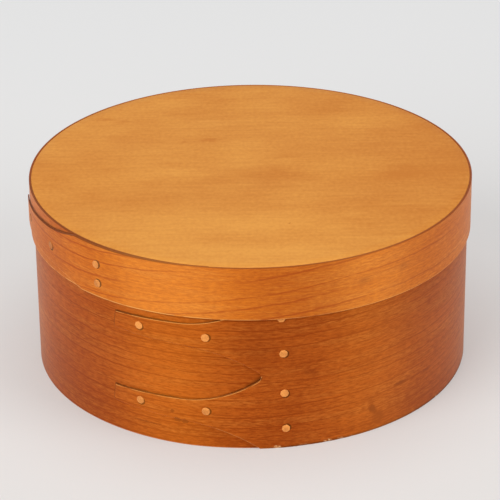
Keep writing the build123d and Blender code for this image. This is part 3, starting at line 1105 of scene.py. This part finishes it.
def peg_wood(name, wood, dullness_and_shade):
    """End grain of pale pegs, dulled by finish and dirt, and by painted shade on the lid's finger."""
    look = Finish(name)
    where = look.node("ShaderNodeTexCoord", output="Object")
    pores = look.noise(where, (1500, 1500, 1500))
    broad = look.noise(where, (160, 160, 160), detail=1)
    tone = look.between(pores, 0.35, 0.75) * 0.4 + look.between(broad, 0.4, 0.7) * 0.35 + dullness_and_shade
    shade = look.mix(look.math("MINIMUM", tone, 1.0), wood.peg, wood.peg_dark)
    roughness = 0.5 + (broad - 0.5) * 0.1
    return look.finish(shade, roughness, pores, PEG_RELIEF, {"Specular Tint": wood.board_glow})


def body_wall(settings):
    sizes = settings.body
    heights = [sizes.spacing / 2, sizes.spacing * 3 / 2]
    tilts = [sizes.lower_tilt, sizes.upper_tilt]
    tips = [sizes.finger_length + sizes.lower_reach, sizes.finger_length]
    return Wall(sizes, "body_band", "base_board", heights, tilts, tips, BODY_STATIONS, BODY_CHIPS)


def lid_wall(settings):
    low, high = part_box("lid_band")
    sizes = settings.lid
    heights = [(low.z + high.z) / 2 - sizes.tip_drop]
    tips = [sizes.finger_length]
    return Wall(sizes, "lid_band", "lid_board", heights, [sizes.tilt], tips, LID_STATIONS, ())


def add_wall(name, wall, look, node, body):
    piece = bent_wall(wall, name)
    piece.data.materials.append(look)
    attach(piece, body)
    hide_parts(node)


class CHEESEBOX_OT_body_wall(bpy.types.Operator):
    """Bend the tall wall, with two fingers lapped at the front"""

    bl_idname = "cheesebox.body_wall"
    bl_label = "Body wall"

    def execute(self, context):
        settings = context.scene.cheese_box
        wood = settings.wood
        wall = body_wall(settings)
        grain = Grain(
            (wood.body_light, wood.body_dark, wood.body_gold, wood.body_glow, wood.soaked_edge_and_shade),
            slope=0.042,
            climb=(0, 0.3),
            rings=150,
            shift=4.3,
            depth=1.15,
            specks=2.7,
            worn=(0.95, 0.5, 0.2),
            worn_reach=(-48 * MM, 13 * MM),
            dirt=(0.95 * MM, 0.65),
            sheen=0.30,
            lid_edge=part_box("lid_band")[0].z,
        )
        pegs = ("upper_finger_pegs", "lower_finger_pegs", "body_seam_pegs")
        look = cherry("body_cherry_varnished", wall, grain, wood, pegs, BODY_FLECKS_AND_SHADING)
        add_wall("bent_body_wall", wall, look, "body_band", "box")
        return {"FINISHED"}


class CHEESEBOX_OT_lid_wall(bpy.types.Operator):
    """Bend the lid's wall, with one finger lapped at the left"""

    bl_idname = "cheesebox.lid_wall"
    bl_label = "Lid wall"

    def execute(self, context):
        settings = context.scene.cheese_box
        wood = settings.wood
        wall = lid_wall(settings)
        grain = Grain(
            (wood.lid_light, wood.lid_dark, wood.lid_gold, wood.lid_glow, wood.lid_soaked_edge_and_shade),
            slope=0.13,
            climb=(0.005, 0.19),
            rings=104,
            shift=11.9,
            depth=0.85,
            specks=2.4,
            worn=(0.0, 0.75, 0.95),
            worn_reach=(-130 * MM, 120 * MM),
            dirt=(1.6 * MM, 0.0),
            sheen=0.22,
        )
        pegs = ("lid_finger_pegs", "lid_seam_pegs")
        look = cherry("lid_cherry_varnished", wall, grain, wood, pegs, LID_FLECKS_AND_SHADING)
        add_wall("bent_lid_wall", wall, look, "lid_band", "lid")
        return {"FINISHED"}


class CHEESEBOX_OT_boards(bpy.types.Operator):
    """Turn the lid's board and the base board"""

    bl_idname = "cheesebox.boards"
    bl_label = "Boards"

    def execute(self, context):
        wood = context.scene.cheese_box.wood
        for name, node, body, slot, side, marks in (
            ("lid_disc", "lid_board", "lid", "lid_wood", 1, BOARD_MARKS),
            ("base_disc", "base_board", "box", "base_wood", -1, ()),
        ):
            piece = disc(name, node)
            piece.data.materials.append(board_wood(slot + "_grain", wood, side, marks))
            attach(piece, body)
            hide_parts(node)
        return {"FINISHED"}


class CHEESEBOX_OT_pegs(bpy.types.Operator):
    """Drive the pegs of both laps"""

    bl_idname = "cheesebox.pegs"
    bl_label = "Pegs"

    def execute(self, context):
        wood = context.scene.cheese_box.wood
        for node, body, dullness_and_shade in (
            ("upper_finger_pegs", "box", 0.0),
            ("lower_finger_pegs", "box", 0.12),
            ("body_seam_pegs", "box", 0.06),
            # the lid finger's pegs are also darkened as painted shade for the grazing light on them
            ("lid_finger_pegs", "lid", 0.75),
            ("lid_seam_pegs", "lid", 0.2),
        ):
            look = peg_wood(node + "_end_grain", wood, dullness_and_shade)
            peg_row(node.removesuffix("s"), node, look, body)
        return {"FINISHED"}


class CHEESEBOX_OT_stage(bpy.types.Operator):
    """Set the camera, the lamps and the floor"""

    bl_idname = "cheesebox.stage"
    bl_label = "Stage"

    def execute(self, context):
        studio = context.scene.cheese_box.studio
        set_camera(context.scene, studio)
        set_floor(studio)
        set_lights(context.scene, studio)
        return {"FINISHED"}


def set_camera(scene, studio):
    """The camera looks level with the floor's left and right, but for its roll."""
    back = Vector((0, -math.cos(studio.elevation), math.sin(studio.elevation)))
    camera = bpy.data.objects.new("camera", bpy.data.cameras.new("camera"))
    scene.collection.objects.link(camera)
    camera.location = Vector((studio.target_x, 0, studio.target_z)) + back * studio.distance
    level = (-back).to_track_quat("-Z", "Y").to_matrix()
    camera.rotation_mode = "QUATERNION"
    camera.rotation_quaternion = (level @ Matrix.Rotation(studio.roll, 3, "Z")).to_quaternion()
    camera.data.sensor_width = SENSOR_WIDTH
    camera.data.lens = studio.lens
    camera.data.clip_end = CLIP_END
    scene.camera = camera


def set_floor(studio):
    """A pale paper floor, part of whose colour is its own light where the camera or a gloss sees it."""
    made = bmesh.new()
    bmesh.ops.create_circle(made, cap_ends=True, segments=FLOOR_SIDES, radius=FLOOR_RADIUS)
    mesh = bpy.data.meshes.new("floor")
    made.to_mesh(mesh)
    made.free()
    floor = bpy.data.objects.new("floor", mesh)
    bpy.context.scene.collection.objects.link(floor)
    look = Finish("floor_paper")
    where = look.node("ShaderNodeTexCoord", output="Object")
    depth = look.between(look.parts(where)[1], *FLOOR_FADE)
    shade = look.mix(depth, studio.floor_front, studio.floor_back)
    paper = look.noise(where, (300, 300, 300))
    camera_ray = look.node("ShaderNodeLightPath", output="Is Camera Ray")
    seen = camera_ray + camera_ray.beside("Is Glossy Ray") + camera_ray.beside("Is Transmission Ray")
    pale = look.math("MINIMUM", seen, 1.0) * studio.floor_glow
    black = (0, 0, 0)
    gloss = {"Emission Color": look.mix(pale, black, shade), "Emission Strength": 1.0}
    floor.data.materials.append(look.finish(look.mix(pale, shade, black), 0.8, paper, PAPER_RELIEF, gloss))


def lamp(name, power, azimuth, elevation, distance, size, tint):
    """A round soft lamp that faces the box. Its azimuth runs from the front towards the right."""
    data = bpy.data.lights.new(name, "AREA")
    data.shape = "DISK"
    data.size = size
    data.energy = power
    data.color = tint
    lit = bpy.data.objects.new(name, data)
    bpy.context.scene.collection.objects.link(lit)
    azimuth, elevation = math.radians(azimuth), math.radians(elevation)
    level = distance * math.cos(elevation)
    lit.location = (level * math.sin(azimuth), -level * math.cos(azimuth), distance * math.sin(elevation))
    lit.rotation_mode = "QUATERNION"
    lit.rotation_quaternion = (LAMP_AIM - lit.location).to_track_quat("-Z", "Y")
    lit.visible_camera = False


def set_lights(scene, studio):
    world = bpy.data.worlds.new("studio")
    scene.world = world
    world.use_nodes = True
    backdrop = world.node_tree.nodes["Background"]
    backdrop.inputs["Color"].default_value = (1, 1, 1, 1)
    backdrop.inputs["Strength"].default_value = studio.world_strength
    lamp("left_lamp", studio.left_power, *LEFT_LAMP)
    lamp("right_lamp", studio.right_power, *RIGHT_LAMP)
    lamp("top_lamp", studio.top_power, *TOP_LAMP)
    scene.view_settings.view_transform = "Standard"


class CHEESEBOX_PT_sidebar(bpy.types.Panel):
    """Lists the steps and the sizes"""

    bl_idname = "CHEESEBOX_PT_sidebar"
    bl_label = "Cheese Box"
    bl_space_type = "VIEW_3D"
    bl_region_type = "UI"
    bl_category = "Cheese Box"

    def draw(self, context):
        settings = context.scene.cheese_box
        for step in STEPS:
            self.layout.operator(step.bl_idname)
        for group in (settings.body, settings.lid, settings.wood, settings.studio):
            column = self.layout.column(align=True)
            for name in group.__annotations__:
                column.prop(group, name)


STEPS = (
    CHEESEBOX_OT_body_wall,
    CHEESEBOX_OT_lid_wall,
    CHEESEBOX_OT_boards,
    CHEESEBOX_OT_pegs,
    CHEESEBOX_OT_stage,
)
GROUPS = (BodyWallSizes, LidWallSizes, WoodColours, StudioSettings, CheeseBoxSettings)


def register():
    for kind in (*GROUPS, *STEPS, CHEESEBOX_PT_sidebar):
        bpy.utils.register_class(kind)
    bpy.types.Scene.cheese_box = bpy.props.PointerProperty(type=CheeseBoxSettings)


def unregister():
    del bpy.types.Scene.cheese_box
    for kind in reversed((*GROUPS, *STEPS, CHEESEBOX_PT_sidebar)):
        bpy.utils.unregister_class(kind)


def main():
    register()
    bpy.ops.cheesebox.body_wall()
    bpy.ops.cheesebox.lid_wall()
    bpy.ops.cheesebox.boards()
    bpy.ops.cheesebox.pegs()
    bpy.ops.cheesebox.stage()


if __name__ == "__main__":
    main()
